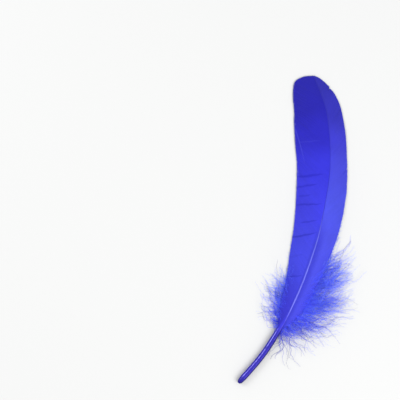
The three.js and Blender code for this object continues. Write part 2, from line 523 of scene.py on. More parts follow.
@dataclass(frozen=True)
class VaneFinish:
    """Dyed barbs: satin, darker towards the tip partly as painted shade, with painted shade beside
    the shaft, a painted highlight along the edge and marks of painted shade and highlight along
    bends across them.
    """

    name: str
    stops: Stops
    dark_marks: tuple[Crease, ...] = ()
    light_marks: tuple[Crease, ...] = ()
    # Colour of the painted shade in the creases and beside the folds.
    dark_colour: Colour = (0.0010, 0.0010, 0.34)
    # Colour of the painted highlights on the folds.
    light_colour: Colour = (0.076, 0.082, 0.59)
    # Painted shade beside the shaft: its colour, its strength, where it fades out along the barbs
    # and the stations where it goes.
    shade_colour: Colour = (0.031, 0.035, 0.53)
    root_shade: float = 0.0
    root_shade_start: float = 0.05
    root_shade_reach: float = 0.12
    root_shade_ends: tuple[float, float] = (0.085, 0.105)
    # Painted highlight along the edge of the vane.
    rim_light: float = 0.0
    rim_reach: tuple[float, float] = (0.90, 0.97)
    mark_least_width: float = 0.000001
    mark_root_width: float = 0.4
    mark_width_growth: float = 1.6
    mark_fade: float = 0.12
    mark_start: tuple[float, float] = (-0.10, 0.05)
    mark_wave: float = 0.0012
    mark_wave_pace: float = 330.0
    fine_pace: float = 1500.0
    fine_share: float = 0.12
    cloud_pace: float = 90.0
    cloud_share: float = 0.24
    cloud_least: float = 0.88
    tint_share: float = 0.035
    relief: float = 0.00004

    def mask(self, paint: Paint, marks: tuple[Crease, ...]) -> Any:
        """Adds up the marks along some creases, which are painted shade and painted highlights.

        Args:
            paint: The material being made.
            marks: The creases.

        Returns:
            A value from 0 off the creases to about 1 in the middle of one.
        """
        station = paint.value("station")
        offset = paint.value("offset")
        total: Any = 0.0
        for crease in marks:
            inward = crease.end_offset - crease.offset
            slope = (crease.end_station - crease.station) / inward
            gone = paint.math("SUBTRACT", offset, crease.offset)
            share = paint.math("DIVIDE", gone, inward)
            line = paint.plus(gone, slope, crease.station)
            along = paint.add("ShaderNodeCombineXYZ", {"X": offset, "Y": crease.station})
            wave = paint.noise(along, self.mark_wave_pace, 1.0)
            wave = paint.times(paint.math("SUBTRACT", wave, 0.5), self.mark_wave)
            apart = paint.math("SUBTRACT", paint.math("SUBTRACT", station, line), wave)
            left = paint.math("MAXIMUM", paint.rest(share), 0.0)
            grown = paint.math("MAXIMUM", share, 0.0)
            lens = paint.plus(grown, self.mark_width_growth, self.mark_root_width)
            width = paint.times(left, lens, crease.width)
            width = paint.math("ADD", width, self.mark_least_width)
            near = paint.rest(paint.math("DIVIDE", paint.math("ABSOLUTE", apart), width))
            faded = paint.step(left, 0.0, self.mark_fade)
            mark = paint.times(paint.step(near, 0.0, 1.0), faded)
            mark = paint.times(mark, paint.step(share, *self.mark_start))
            total = paint.plus(mark, crease.depth, total)
        return paint.math("MINIMUM", total, 1.0)

    def material(self) -> bpy.types.Material:
        """Makes the material.

        Returns:
            The dyed barbs, which read station, offset, reach and tint from the mesh.
        """
        paint = Paint(self.name)
        station = paint.value("station")
        reach = paint.value("reach")
        place = paint.object_place
        fine = paint.noise(place, self.fine_pace, 2.0)
        amount = paint.plus(paint.noise(place, self.cloud_pace), self.cloud_share, self.cloud_least)
        amount = paint.plus(paint.value("tint"), self.tint_share, amount)
        amount = paint.plus(paint.math("SUBTRACT", fine, 0.5), self.fine_share, amount)
        # Painted highlight along the edge of the vane.
        amount = paint.plus(paint.step(reach, *self.rim_reach), self.rim_light, amount)
        # Painted shade beside the shaft, fading out along the barbs and along the shaft.
        shade = paint.rest(paint.step(reach, self.root_shade_start, self.root_shade_reach))
        below = paint.rest(paint.step(station, *self.root_shade_ends))
        shade = paint.times(shade, below, self.root_shade)
        # The ramp darkens towards the tip, partly as painted shade.
        colour = paint.ramp(paint.math("DIVIDE", station, SHAFT_LENGTH), self.stops)
        colour = paint.scaled(paint.blended(shade, colour, self.shade_colour), amount)
        # Painted highlights on the folds, then painted shade in the creases and beside the folds.
        for marks, dye in (
            (self.light_marks, self.light_colour),
            (self.dark_marks, self.dark_colour),
        ):
            if marks:
                colour = paint.blended(self.mask(paint, marks), colour, dye)
        paint.set(
            Base_Color=colour,
            Roughness=0.55,
            Sheen_Weight=0.082,
            Sheen_Roughness=0.4,
            Sheen_Tint=(0.45, 0.5, 1.0, 1.0),
            Specular_IOR_Level=0.205,
            Normal=paint.bumped(fine, self.relief),
        )
        return paint.material


@dataclass(frozen=True)
class BarrelHighlight:
    """A painted highlight along the barrel; its middle and its half width are in radii."""

    middle: float
    width: float
    strength: float


@dataclass(frozen=True)
class HornFinish:
    """Glossy horn of the quill, with painted shade at its flanks and painted highlights along the
    barrel, that pales along the rachis, partly as a painted highlight.
    """

    name: str = "quill_horn"
    # Colours along the shaft; the pale stops along the rachis are its paler horn with a painted
    # highlight of its ridge.
    stops: Stops = (
        (0.0, (0.0123, 0.0069, 0.192)),
        (0.03, (0.0220, 0.0123, 0.344)),
        (0.18, (0.0165, 0.0102, 0.325)),
        (0.225, (0.0560, 0.0480, 0.610)),
        (0.28, (0.1650, 0.1720, 0.745)),
        (0.46, (0.1328, 0.1480, 0.676)),
        (0.62, (0.0412, 0.0426, 0.480)),
        (1.0, (0.0165, 0.0151, 0.288)),
    )
    flank_colour: Colour = (0.0041, 0.0021, 0.096)
    flank_shift: float = 0.20
    flank_edge: tuple[float, float] = (0.62, 0.98)
    flank_depth: float = 0.45
    flank_depth_on_barrel: float = 0.95
    barrel_ends: tuple[float, float] = (0.036, 0.046)
    grain_across: float = 3.0
    grain_along: float = 90.0
    grain_scale: float = 1.6
    grain_share: float = 0.6
    grain_least: float = 0.7
    shines: tuple[BarrelHighlight, ...] = (
        BarrelHighlight(middle=-0.50, width=0.17, strength=0.85),
        BarrelHighlight(middle=0.36, width=0.10, strength=0.15),
    )
    shine_colour: Colour = (0.33, 0.31, 1.0)
    shine_core: float = 0.2
    shine_start: tuple[float, float] = (0.001, 0.006)
    fleck_across: float = 4.0
    fleck_along: float = 290.0
    fleck_edge: tuple[float, float] = (0.34, 0.62)
    fleck_strength: float = 1.15
    relief: float = 0.00007

    def material(self) -> bpy.types.Material:
        """Makes the material.

        Returns:
            The horn, which reads station, across and upright from the mesh.
        """
        paint = Paint(self.name)
        station = paint.value("station")
        across = paint.value("across")
        sockets = {
            "X": paint.times(across, self.grain_across),
            "Y": paint.times(paint.value("upright"), self.grain_across),
            "Z": paint.times(station, self.grain_along),
        }
        grain = paint.noise(paint.add("ShaderNodeCombineXYZ", sockets), self.grain_scale, 4.0)
        # Flecks break the painted highlights into glints and add to the relief.
        sockets = {
            "X": paint.times(across, self.fleck_across),
            "Z": paint.times(station, self.fleck_along),
        }
        flecks = paint.noise(paint.add("ShaderNodeCombineXYZ", sockets), self.grain_scale, 2.0)
        flecks = paint.times(paint.step(flecks, *self.fleck_edge), self.fleck_strength)
        barrel = paint.rest(paint.step(station, *self.barrel_ends))
        # Painted shade on the flanks, shifted towards the outer side and deepest on the barrel.
        turned = paint.math("ABSOLUTE", paint.math("ADD", across, self.flank_shift))
        deeper = self.flank_depth_on_barrel - self.flank_depth
        depth = paint.plus(barrel, deeper, self.flank_depth)
        flank = paint.times(paint.step(turned, *self.flank_edge), depth)
        colour = paint.ramp(paint.math("DIVIDE", station, SHAFT_LENGTH), self.stops)
        colour = paint.scaled(colour, paint.plus(grain, self.grain_share, self.grain_least))
        colour = paint.blended(flank, colour, self.flank_colour)
        # Painted highlights along the barrel, broken into glints by the flecks.
        started = paint.step(station, *self.shine_start)
        for shine in self.shines:
            apart = paint.math("ABSOLUTE", paint.math("SUBTRACT", across, shine.middle))
            near = paint.rest(paint.step(apart, self.shine_core * shine.width, shine.width))
            near = paint.times(near, barrel, shine.strength, started, flecks)
            colour = paint.blended(near, colour, self.shine_colour)
        paint.set(
            Base_Color=colour,
            Roughness=0.34,
            IOR=1.45,
            Specular_IOR_Level=0.15,
            Subsurface_Weight=0.12,
            Subsurface_Radius=(0.0003, 0.0003, 0.0012),
            Coat_Weight=0.055,
            Coat_Roughness=0.15,
            Normal=paint.bumped(paint.math("ADD", grain, flecks), self.relief),
        )
        return paint.material


@dataclass(frozen=True)
class DownFinish:
    """Soft down: deep at its roots and paler towards its tips."""

    name: str = "down_fluff"
    stops: Stops = (
        (0.0, (0.082, 0.105, 1.0)),
        (0.40, (0.090, 0.125, 1.0)),
        (0.70, (0.125, 0.190, 1.0)),
        (1.0, (0.200, 0.300, 1.0)),
    )
    tint_share: float = 0.28
    cloud_pace: float = 300.0
    cloud_share: float = 0.3
    cloud_least: float = 0.85

    def material(self) -> bpy.types.Material:
        """Makes the material.

        Returns:
            The down, which reads reach and tint from the mesh.
        """
        paint = Paint(self.name)
        place = paint.plus(paint.value("tint"), self.tint_share, paint.value("reach"))
        cloud = paint.noise(paint.object_place, self.cloud_pace)
        amount = paint.plus(cloud, self.cloud_share, self.cloud_least)
        paint.set(
            Base_Color=paint.scaled(paint.ramp(place, self.stops), amount),
            Roughness=0.8,
            Sheen_Weight=0.6,
            Sheen_Roughness=0.5,
            Sheen_Tint=(0.25, 0.30, 1.0, 1.0),
            Specular_IOR_Level=0.2,
        )
        return paint.material


@dataclass(frozen=True)
class PaperFinish:
    """Matt white paper that the feather lies on."""

    name: str = "white_paper"
    colour: Colour = (0.618, 0.621, 0.618)
    tooth_pace: float = 900.0
    tooth_share: float = 0.01
    tooth_least: float = 0.995

    def material(self) -> bpy.types.Material:
        """Makes the material.

        Returns:
            The paper.
        """
        paint = Paint(self.name)
        tooth = paint.noise(paint.object_place, self.tooth_pace)
        amount = paint.plus(tooth, self.tooth_share, self.tooth_least)
        paint.set(
            Base_Color=paint.scaled(self.colour, amount),
            Roughness=0.9,
            Specular_IOR_Level=0.1,
        )
        return paint.material


# --------------------------------------------------------------------------- growing


@dataclass(frozen=True)
class Growth:
    """Sizes of what one piece grows, each named as an input of the tree that grows it."""

    def inputs(self) -> dict[str, Any]:
        """Returns the sizes under the names of the tree's inputs."""
        return {key.replace("_", " ").title(): value for key, value in asdict(self).items()}


@dataclass(frozen=True)
class Ribbing(Growth):
    """How the barbs of one piece are ridged, in half widths, and how unevenly they lie."""

    ridge: float = 0.30
    keel: float = 0.25
    lift_scatter: float = 0.00004


@dataclass(frozen=True)
class Fluff(Growth):
    """How thick and how wild the plumes of one piece are."""

    strands: int = 1
    spread: float = 0.0024
    wave: float = 0.006
    wave_pace: float = 190.0
    curl: float = 0.0
    thinning: float = 0.0
    stem_radius: float = 0.00004
    hair_gap: float = 0.00013
    hair_length: float = 0.0022
    hair_radius: float = 0.000022
    lowest: float = 0.0001


class Draw(Enum):
    """The random draws of a tree, by how far each one moves the tree's seed on.

    Barbs and plumes have a tree each, so LIFT and FAN can share a number.
    """

    LIFT = 0
    FAN = 0
    TRIM = 3
    CURL = 5
    WAVE = 7
    HAIR_AIM = 11
    HAIR_LENGTH = 13
    TINT = 17
    THINNING = 19


def strand_mesh(name: str, points: Numbers, values: Values) -> bpy.types.Mesh:
    """Makes guide strands: one loose polyline for each row of points.

    Args:
        name: Name of the mesh.
        points: Rows of points from root to tip.
        values: Numbers that the points carry, by name, in the same rows.

    Returns:
        The mesh of edges.
    """
    rows, steps = points.shape[:2]
    index = np.arange(rows * steps).reshape(rows, steps)
    edges = np.stack([index[:, :-1], index[:, 1:]], axis=-1).reshape(-1, 2)
    mesh = bpy.data.meshes.new(name)
    mesh.from_pydata(points.reshape(-1, 3).tolist(), edges.tolist(), [])
    for key, value in values.items():
        layer = mesh.attributes.new(key, "FLOAT", "POINT")
        spread = np.broadcast_to(value, (rows, steps)).astype(np.float32)
        layer.data.foreach_set("value", spread.ravel())
    return mesh


class GrowingTree(Sketch):
    """A Geometry Nodes tree with named inputs, from guide strands to a plain mesh."""

    def __init__(self, name: str, growth: Growth) -> None:
        """Starts a tree.

        Args:
            name: Name of the tree.
            growth: The sizes that the tree takes, with their first values.
        """
        super().__init__(bpy.data.node_groups.new(name, "GeometryNodeTree"))
        kinds = {int: "NodeSocketInt", float: "NodeSocketFloat"}
        face = self.tree.interface
        face.new_socket("Guides", in_out="INPUT", socket_type="NodeSocketGeometry")
        for key, value in {**growth.inputs(), "Seed": 1}.items():
            socket = face.new_socket(key, in_out="INPUT", socket_type=kinds[type(value)])
            socket.default_value = value
        face.new_socket("Finish", in_out="INPUT", socket_type="NodeSocketMaterial")
        face.new_socket("Mesh", in_out="OUTPUT", socket_type="NodeSocketGeometry")
        self.given = self.tree.nodes.new("NodeGroupInput").outputs

    def carried(self, name: str) -> bpy.types.NodeSocket:
        """Returns a number that the guide strands carry."""
        node = self.add("GeometryNodeInputNamedAttribute", {"Name": name}, data_type="FLOAT")
        return node.outputs["Attribute"]

    def seed(self, draw: Draw) -> bpy.types.NodeSocket:
        """Returns the seed of one random draw."""
        return self.math("ADD", self.given["Seed"], float(draw.value))

    def chance(self, low: float, high: float, number: Any, draw: Draw) -> Any:
        """Returns a random number, the same for everything with the same number."""
        sockets = {2: low, 3: high, "ID": number, "Seed": self.seed(draw)}
        return self.add("FunctionNodeRandomValue", sockets, data_type="FLOAT").outputs[1]

    def direction(self, number: Any, draw: Draw) -> bpy.types.NodeSocket:
        """Draws a random vector.

        Args:
            number: Things with the same number get the same vector.
            draw: The random draw.

        Returns:
            The vector, with each part between -1 and 1.
        """
        low, high = (-1.0, -1.0, -1.0), (1.0, 1.0, 1.0)
        sockets = {0: low, 1: high, "ID": number, "Seed": self.seed(draw)}
        node = self.add("FunctionNodeRandomValue", sockets, data_type="FLOAT_VECTOR")
        return node.outputs[0]

    def finish(self, geometry: Any) -> None:
        """Ends the tree in real mesh with one material.

        Args:
            geometry: What the tree has grown.
        """
        real = self.add("GeometryNodeRealizeInstances", {"Geometry": geometry})
        sockets = {"Geometry": real, "Material": self.given["Finish"]}
        dressed = self.add("GeometryNodeSetMaterial", sockets)
        end = self.tree.nodes.new("NodeGroupOutput")
        self.feed(end.inputs["Mesh"], dressed)

    def grow(
        self,
        name: str,
        strands: tuple[Numbers, Values],
        growth: Growth,
        seed: int,
        material: bpy.types.Material,
    ) -> bpy.types.Object:
        """Runs the tree over guide strands.

        Args:
            name: Name of the piece.
            strands: The points of the guide strands, and the numbers that they carry.
            growth: The sizes for the tree's named inputs.
            seed: Seed of the random draws.
            material: The finish of the piece.

        Returns:
            The piece, as a plain mesh with no modifier.
        """
        guides = strand_mesh(name, *strands)
        piece = bpy.data.objects.new(name, guides)
        bpy.context.scene.collection.objects.link(piece)
        modifier = piece.modifiers.new("Grow", "NODES")
        modifier.node_group = self.tree
        settings = {**growth.inputs(), "Seed": seed, "Finish": material}
        for item in self.tree.interface.items_tree:
            if item.in_out == "INPUT" and item.name in settings:
                modifier[item.identifier] = settings[item.name]
        graph = bpy.context.evaluated_depsgraph_get()
        mesh = bpy.data.meshes.new_from_object(
            piece.evaluated_get(graph), preserve_all_data_layers=True, depsgraph=graph
        )
        piece.modifiers.remove(modifier)
        piece.data = mesh
        mesh.name = name
        bpy.data.meshes.remove(guides)
        return piece


class BarbTree(GrowingTree):
    """Grows one ridged barb along every guide strand."""

    def __init__(self) -> None:
        """Builds the tree."""
        super().__init__("barb_sweep", Ribbing())
        curves = self.add("GeometryNodeMeshToCurve", {"Mesh": self.given["Guides"]})
        barb = self.add("GeometryNodeCurveOfPoint").outputs["Curve Index"]
        own = self.chance(-1.0, 1.0, barb, Draw.LIFT)
        lift = self.times(own, self.carried("reach"), self.given["Lift Scatter"])
        upward = self.add("ShaderNodeCombineXYZ", {"Z": lift})
        curves = self.add("GeometryNodeSetPosition", {"Geometry": curves, "Offset": upward})
        curves = self.add("GeometryNodeSetCurveNormal", {"Curve": curves}, mode="Z_UP")
        section = self.add(
            "GeometryNodeCurvePrimitiveQuadrilateral",
            {
                "Width": 2.0,
                "Bottom Height": self.given["Keel"],
                "Top Height": self.given["Ridge"],
            },
            mode="KITE",
        )
        barbs = self.add(
            "GeometryNodeCurveToMesh",
            {
                "Curve": curves,
                "Profile Curve": section,
                "Scale": self.carried("half_width"),
                "Fill Caps": True,
            },
        )
        self.finish(barbs)


class PlumeTree(GrowingTree):
    """Grows small soft plumes along every guide strand: a stem with a row of hairs each side."""

    SHORTEST: float = 0.7
    FAN_FLATNESS: Parts = (1.0, 1.0, 0.5)
    WAVE_SHIFT: float = 2.0
    CURL_FLATNESS: Parts = (1.0, 1.0, 0.2)
    CURL_POWER: float = 2.5
    STEM_TAPER: float = 0.75
    SIDES: int = 3
    HAIR_LEAN: float = 0.75
    HAIR_LOOSENESS: Parts = (0.45, 0.45, 0.2)
    HAIR_LOWEST_AIM: Parts = (-9.0, -9.0, 0.0)
    HAIR_SHORTEST: float = 0.5
    HAIR_TAPER: float = 0.65

    def __init__(self) -> None:
        """Builds the tree."""
        super().__init__("plume_tuft", Fluff())
        guides = self.add("GeometryNodeMeshToCurve", {"Mesh": self.given["Guides"]})
        sockets = {"Geometry": guides, "Amount": self.given["Strands"]}
        tuft = self.add("GeometryNodeDuplicateElements", sockets, domain="SPLINE")
        sockets = {"Geometry": tuft, "Position": self.wandered()}
        moved = self.add("GeometryNodeSetPosition", sockets)
        number = self.add("GeometryNodeInputIndex")
        thinned = self.times(self.given["Thinning"], -1.0)
        least = self.plus(self.rest(self.carried("fullness")), thinned, 1.0)
        gone = self.math("GREATER_THAN", self.chance(0.0, 1.0, number, Draw.THINNING), least)
        sockets = {"Geometry": moved, "Selection": gone}
        kept = self.add("GeometryNodeDeleteGeometry", sockets, domain="CURVE")
        number = self.add("GeometryNodeInputIndex")
        sockets = {"Curve": kept, 3: self.chance(self.SHORTEST, 1.0, number, Draw.TRIM)}
        trimmed = self.add("GeometryNodeTrimCurve", sockets, mode="FACTOR")
        strand = self.add("GeometryNodeCurveOfPoint").outputs["Curve Index"]
        tint = self.chance(-1.0, 1.0, strand, Draw.TINT)
        sockets = {"Geometry": trimmed, "Name": "tint", "Value": tint}
        strands = self.add("GeometryNodeStoreNamedAttribute", sockets, data_type="FLOAT")
        join = self.tree.nodes.new("GeometryNodeJoinGeometry")
        for part in (self.stems(strands), self.hairs(strands)):
            self.feed(join.inputs[0], part)
        self.finish(join)

    def wandered(self) -> bpy.types.Node:
        """Fans out, waves and curls the strands, between the floor and the roof over them.

        Returns:
            Where each point of a strand goes.
        """
        given = self.given
        strand = self.add("GeometryNodeCurveOfPoint").outputs["Curve Index"]
        reach = self.carried("reach")
        place = self.add("GeometryNodeInputPosition")
        flat = self.vector("MULTIPLY", self.direction(strand, Draw.FAN), self.FAN_FLATNESS)
        fan = self.scaled(flat, self.times(given["Spread"], reach))
        own = self.scaled(self.direction(strand, Draw.WAVE), self.WAVE_SHIFT)
        paced = self.sum(self.scaled(place, given["Wave Pace"]), own)
        sockets = {"Vector": paced, "Scale": 1.0, "Detail": 1.0}
        cloud = self.add("ShaderNodeTexNoise", sockets).outputs["Color"]
        wave = self.scaled(self.vector("SUBTRACT", cloud, (0.5, 0.5, 0.5)), given["Wave"])
        wave = self.scaled(wave, self.math("SQRT", reach))
        aside = self.vector("MULTIPLY", self.direction(strand, Draw.CURL), self.CURL_FLATNESS)
        bend = self.times(self.math("POWER", reach, self.CURL_POWER), given["Curl"])
        moved = self.sum(place, fan, wave, self.scaled(aside, bend))
        parts = self.add("ShaderNodeSeparateXYZ", {"Vector": moved}).outputs
        height = self.math("MINIMUM", parts["Z"], self.carried("roof"))
        height = self.math("MAXIMUM", height, given["Lowest"])
        return self.add("ShaderNodeCombineXYZ", {"X": parts["X"], "Y": parts["Y"], "Z": height})

    def stems(self, strands: bpy.types.Node) -> bpy.types.Node:
        """Makes the thin stems of the plumes.

        Args:
            strands: The curves that the stems follow.

        Returns:
            The stems.
        """
        taper = self.plus(self.carried("reach"), -self.STEM_TAPER, 1.0)
        sockets = {"Resolution": self.SIDES, "Radius": 1.0}
        section = self.add("GeometryNodeCurvePrimitiveCircle", sockets)
        return self.add(
            "GeometryNodeCurveToMesh",
            {
                "Curve": strands,
                "Profile Curve": section,
                "Scale": self.times(taper, self.given["Stem Radius"]),
                "Fill Caps": True,
            },
        )

    def hairs(self, strands: bpy.types.Node) -> bpy.types.Node:
        """Makes the fine hairs along the stems.

        Args:
            strands: The curves that the stems follow.

        Returns:
            The hairs, as instances of one thin spike.
        """
        given = self.given
        sockets = {"Curve": strands, "Length": given["Hair Gap"]}
        spaced = self.add("GeometryNodeCurveToPoints", sockets, mode="LENGTH")
        number = self.add("GeometryNodeInputIndex")
        ahead = spaced.outputs["Tangent"]
        beside = self.vector("CROSS_PRODUCT", ahead, (0.0, 0.0, 1.0))
        side = self.plus(self.math("MODULO", number, 2.0), 2.0, -1.0)
        own = self.direction(number, Draw.HAIR_AIM)
        loose = self.vector("MULTIPLY", own, self.HAIR_LOOSENESS)
        aim = self.sum(self.scaled(ahead, self.HAIR_LEAN), self.scaled(beside, side), loose)
        aim = self.vector("MAXIMUM", aim, self.HAIR_LOWEST_AIM)
        turn = self.add("FunctionNodeAlignRotationToVector", {"Vector": aim}, axis="Z")
        spike = self.add(
            "GeometryNodeMeshCone",
            {
                "Vertices": self.SIDES,
                "Radius Bottom": given["Hair Radius"],
                "Radius Top": 0.0,
                "Depth": given["Hair Length"],
            },
        )
        taper = self.plus(self.carried("reach"), -self.HAIR_TAPER, 1.0)
        short = self.times(taper, self.carried("fullness"))
        length = self.chance(self.HAIR_SHORTEST, 1.0, number, Draw.HAIR_LENGTH)
        scale = {"X": 1.0, "Y": 1.0, "Z": self.times(length, short)}
        return self.add(
            "GeometryNodeInstanceOnPoints",
            {
                "Points": spaced.outputs["Points"],
                "Instance": spike.outputs["Mesh"],
                "Rotation": turn,
                "Scale": self.add("ShaderNodeCombineXYZ", scale),
            },
        )


# --------------------------------------------------------------------------- sub-assemblies


def fastened(piece: bpy.types.Object) -> bpy.types.Object:
    """Puts a finished piece in the place of the CAD feather.

    Args:
        piece: The piece.

    Returns:
        The same piece.
    """
    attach(piece, BODY)
    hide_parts(NODE)
    triangles = sum(len(face.vertices) - 2 for face in piece.data.polygons)
    log.info("%s: %d triangles", piece.name, triangles)
    return piece


@dataclass
class Shaft:
    """The quill and the rachis: a round barrel that runs on into a stem, grooved below."""

    line: ShaftLine
    sides: int = 40
    rings: int = 260
    neck_start: float = 0.033
    neck_end: float = 0.046
    depth_ratio: float = 1.12
    squareness: float = 0.8
    groove: float = 0.35
    groove_width: float = 0.35
    ring_crowding: float = 1.3
    tip_overshoot: float = 0.0002

    def section(self, station: Numbers) -> tuple[Numbers, Numbers]:
        """Shapes the rings of the shaft, round at first and squarer past the neck.

        Args:
            station: Station of each ring.

        Returns:
            Offsets and heights around each ring, from its axis.
        """
        turn = np.linspace(0, 2 * math.pi, self.sides, endpoint=False)[None, :]
        radius = self.line.radius(station)[:, None]
        ridged = eased(station, self.neck_start, self.neck_end)[:, None]
        across, upright = np.cos(turn), np.sin(turn)
        square = np.sign(across) * np.abs(across) ** mix(1.0, self.squareness, ridged)
        deep = np.where(upright < 0, mix(1.0, self.depth_ratio, ridged), 1.0)
        groove = np.exp(-((across / self.groove_width) ** 2)) * (upright < 0)
        groove = self.groove * ridged * groove
        return radius * square, radius * (upright * deep + groove)

    def build(self, material: bpy.types.Material) -> bpy.types.Object:
        """Makes the shaft.

        Args:
            material: The horn finish.

        Returns:
            The finished piece.
        """
        marks, _ = np.array(self.line.profile).T
        spread = np.linspace(0, 1, self.rings)[1:] ** self.ring_crowding * marks[-1]
        station = np.unique(np.concatenate([marks[1:], spread]))
        offset, height = self.section(station)
        axis = self.line.axis_height(station)[:, None]
        rings = self.line.place(station[:, None], offset, np.maximum(axis + height, 0.0))
        ends = np.array([0.0, marks[-1] + self.tip_overshoot])
        poles = self.line.place(ends, 0.0, self.line.axis_height(ends))
        index = np.arange(station.size * self.sides).reshape(station.size, self.sides)
        after = np.roll(index, -1, axis=1)
        walls = np.stack([index[:-1], index[1:], after[1:], after[:-1]], axis=-1)
        faces = walls.reshape(-1, 4).tolist()
        faces += [(index.size, a, b) for a, b in zip(index[0].tolist(), after[0].tolist())]
        faces += [(index.size + 1, b, a) for a, b in zip(index[-1].tolist(), after[-1].tolist())]
        mesh = bpy.data.meshes.new("shaft")
        mesh.from_pydata(np.vstack([rings.reshape(-1, 3), poles]).tolist(), [], faces)
        radius = self.line.radius(station)[:, None]
        carried = {
            "station": (np.broadcast_to(station[:, None], index.shape), ends),
            "across": (offset / radius, np.zeros(2)),
            "upright": (height / radius, np.zeros(2)),
        }
        for key, (value, end) in carried.items():
            layer = mesh.attributes.new(key, "FLOAT", "POINT")
            layer.data.foreach_set("value", np.concatenate([value.ravel(), end]))
        mesh.shade_smooth()
        mesh.materials.append(material)
        piece = bpy.data.objects.new("shaft", mesh)
        bpy.context.scene.collection.objects.link(piece)
        return fastened(piece)


@dataclass(frozen=True)
class Split:
    """A gap where neighbouring barbs have come apart at the edge of a vane."""

    root: float
    opening: float
    width: float
    start: float = 0.6
    power: float = 1.5


@dataclass
class Vane:
    """One vane: a row of barbs that overlap like tiles, from the shaft to the outline."""

    web: Web
    creases: tuple[Crease, ...] = ()
    splits: tuple[Split, ...] = ()
    barbs: int = 400
    steps: int = 20
    seed: int = 1
    overlap: float = 0.85
    ribbing: Ribbing = Ribbing()
    margin_wave: float = 0.010
    margin_wave_length: float = 0.035
    margin_wave_seed: int = 2
    margin_scatter: float = 0.004
    swell: float = 0.00035
    swell_level: float = 0.6
    swell_wave: float = 0.4
    swell_wave_length: float = 0.030
    swell_wave_lag: float = 0.15
    swell_wave_seed: int = 4
    lowest: float = 0.00035
    fold_height: float = 0.0004
    fold_width: float = 0.0016
    fold_steepness: float = 2.0
    fold_root: float = 1.1
    fold_past_edge: float = 0.2
    tip_taper: float = 0.06
    tip_width: float = 0.35
    half_widths: tuple[float, float] = (0.00003, 0.0005)

    def opened(self, root: Numbers, reach: Numbers) -> Numbers:
        """Opens the splits.

        Args:
            root: Station of each barb's root.
            reach: How far along its barb each point is.

        Returns:
            How far each point is pushed along the shaft.
        """
        total = np.zeros(np.broadcast(root, reach).shape)
        for split in self.splits:
            apart = root - split.root
            pull = np.exp(-((apart / split.width) ** 2)) * np.sign(apart)
            part = np.clip((reach - split.start) / (1 - split.start), 0, 1) ** split.power
            total += split.opening / 2 * pull * part
        return total

    def folded(self, station: Numbers, offset: Numbers) -> Numbers:
        """Folds the vane along the creases.

        Args:
            station: Station of each point.
            offset: Offset of each point.

        Returns:
            How far each point stands up or dips beside the creases.
        """
        total = np.zeros_like(station)
        for crease in self.creases:
            share = (offset - crease.offset) / (crease.end_offset - crease.offset)
            line = mix(crease.station, crease.end_station, share)
            apart = (station - line) / self.fold_width
            inside = np.clip(self.fold_root - share, 0, 1) * (share > -self.fold_past_edge)
            turn = np.exp(-(apart**2)) * np.tanh(self.fold_steepness * apart)
            total += crease.depth * inside * turn
        return self.fold_height * total

    def guides(self) -> tuple[Numbers, Values]:
        """Lays out the barbs.

        Returns:
            The points of every barb from root to tip, and the numbers that they carry.
        """
        chance = np.random.default_rng(self.seed)
        side = self.web.side.value
        ends = np.array(self.web.chosen)[[0, -1], 0]
        root = np.linspace(*ends, self.barbs)[:, None]
        reach = np.linspace(0, 1, self.steps)[None, :]
        station, offset, height = self.web.lay(root, reach)
        wave = ripple(root / self.margin_wave_length, self.seed + self.margin_wave_seed)
        scattered = self.margin_scatter * chance.standard_normal(root.shape)
        offset = offset * (1 + (self.margin_wave * wave + scattered) * reach)
        station = station + self.opened(root, reach)
        phase = station / self.swell_wave_length + self.swell_wave_lag * reach
        wave = ripple(phase, self.seed + self.swell_wave_seed)
        height = height + self.swell * (self.swell_level + self.swell_wave * wave) * reach
        height = (height + self.folded(station, side * offset)).clip(self.lowest)
        points = self.web.line.place(station, side * offset, height)
        taper = np.clip((1 - reach) / self.tip_taper, self.tip_width, 1.0)
        values = {
            "half_width": self.half_width(points) * taper,
            "reach": reach,
            "station": station,
            "offset": side * offset,
            "tint": chance.uniform(-1, 1, root.shape),
        }
        return points, values

    def half_width(self, points: Numbers) -> Numbers:
        """Measures how wide the barbs must be.

        Args:
            points: The points of every barb from root to tip.

        Returns:
            The half width at each point with which its barb overlaps the next one.
        """
        run = np.gradient(points, axis=1)
        run /= np.linalg.norm(run, axis=-1, keepdims=True)
        between = np.diff(points, axis=0)
        square = np.linalg.norm(np.cross(between, run[:-1]), axis=-1)
        square = np.concatenate([square, square[-1:]], axis=0)
        return (self.overlap * square).clip(*self.half_widths)

    def build(self, tree: BarbTree, material: bpy.types.Material) -> bpy.types.Object:
        """Grows the vane.

        Args:
            tree: The tree that grows barbs.
            material: The finish of this vane.

        Returns:
            The finished piece.
        """
        name = self.web.named("vane")
        piece = tree.grow(name, self.guides(), self.ribbing, self.seed, material)
        return fastened(piece)


@dataclass(frozen=True)
class Strew:
    """How the strands of one layer of down are strewn about the locks."""

    copies: int = 1
    fan: float = 0.0
    lengths: tuple[float, float] = (1.0, 1.0)
    sway: float = 0.0
    lift: float = 0.0


